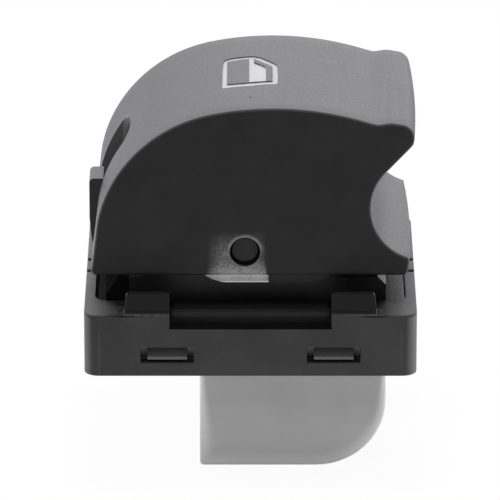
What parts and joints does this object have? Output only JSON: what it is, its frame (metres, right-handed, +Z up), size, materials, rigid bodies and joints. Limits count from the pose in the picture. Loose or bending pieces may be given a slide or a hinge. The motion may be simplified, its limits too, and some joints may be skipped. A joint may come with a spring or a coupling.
{
  "type": "power window switch",
  "caption": "Single rocker window switch: curved cap with a pull lip, on a pivot tower in a notched black frame, over a grey plug shroud.",
  "frame": {"origin": "centre of the bounding box's underside, level with the plug shroud's rim", "axes": "+X towards the rocker's pull lip, +Y across to the far side, +Z up through the plug, frame and cap"},
  "size_m": [0.034, 0.03, 0.0411],
  "materials": {
    "cap_plastic": "satin, finely grained, scuffed round the pivot",
    "frame_plastic": "moulded black, satin",
    "housing_plastic": "moulded black",
    "base_plastic": "moulded grey, satin",
    "silicone": "matt",
    "carbon": "matt",
    "slider_plastic": "smooth",
    "clear_plastic": "clear, polished",
    "board_laminate": "solder resist",
    "lamp_body": "smooth",
    "resistor_body": "smooth",
    "tinned_brass": "tinned"
  },
  "bodies": {
    "switch_body": {"base_frame": "frame_plastic", "inner_housing": "housing_plastic", "connector_base": "base_plastic", "circuit_board": "board_laminate", "contact_mat": "silicone", "lamp": "lamp_body", "light_guide": "clear_plastic", "terminal_1": "tinned_brass", "terminal_2": "tinned_brass", "terminal_3": "tinned_brass", "terminal_4": "tinned_brass", "terminal_5": "tinned_brass", "terminal_6": "tinned_brass", "resistor_1": "resistor_body", "resistor_2": "resistor_body", "resistor_3": "resistor_body"},
    "rocker": {"rocker_cap": "cap_plastic"},
    "front_slider": {"front_plunger": "slider_plastic", "front_pill": "carbon"},
    "rear_slider": {"rear_plunger": "slider_plastic", "rear_pill": "carbon"}
  },
  "joints": [
    {"name": "rocker_tilt", "type": "hinge", "parent": "switch_body", "child": "rocker", "pos_m": [-0.00056, 0, 0.02578], "axis": [0, 1, 0], "range_deg": [-7, 7], "stiffness_Nm_per_rad": 0.3, "deforming": ["contact_mat"]},
    {"name": "front_press", "type": "slide", "parent": "switch_body", "child": "front_slider", "axis": [0, 0, 1], "range_m": [-0.00085, 0.00085], "deforming": ["contact_mat"]},
    {"name": "rear_press", "type": "slide", "parent": "switch_body", "child": "rear_slider", "axis": [0, 0, 1], "range_m": [-0.00085, 0.00085], "deforming": ["contact_mat"]}
  ],
  "couplings": [
    {"joint": "front_press", "follows": "rocker_tilt", "m_per_rad": -0.0068},
    {"joint": "rear_press", "follows": "rocker_tilt", "m_per_rad": 0.0068}
  ]
}
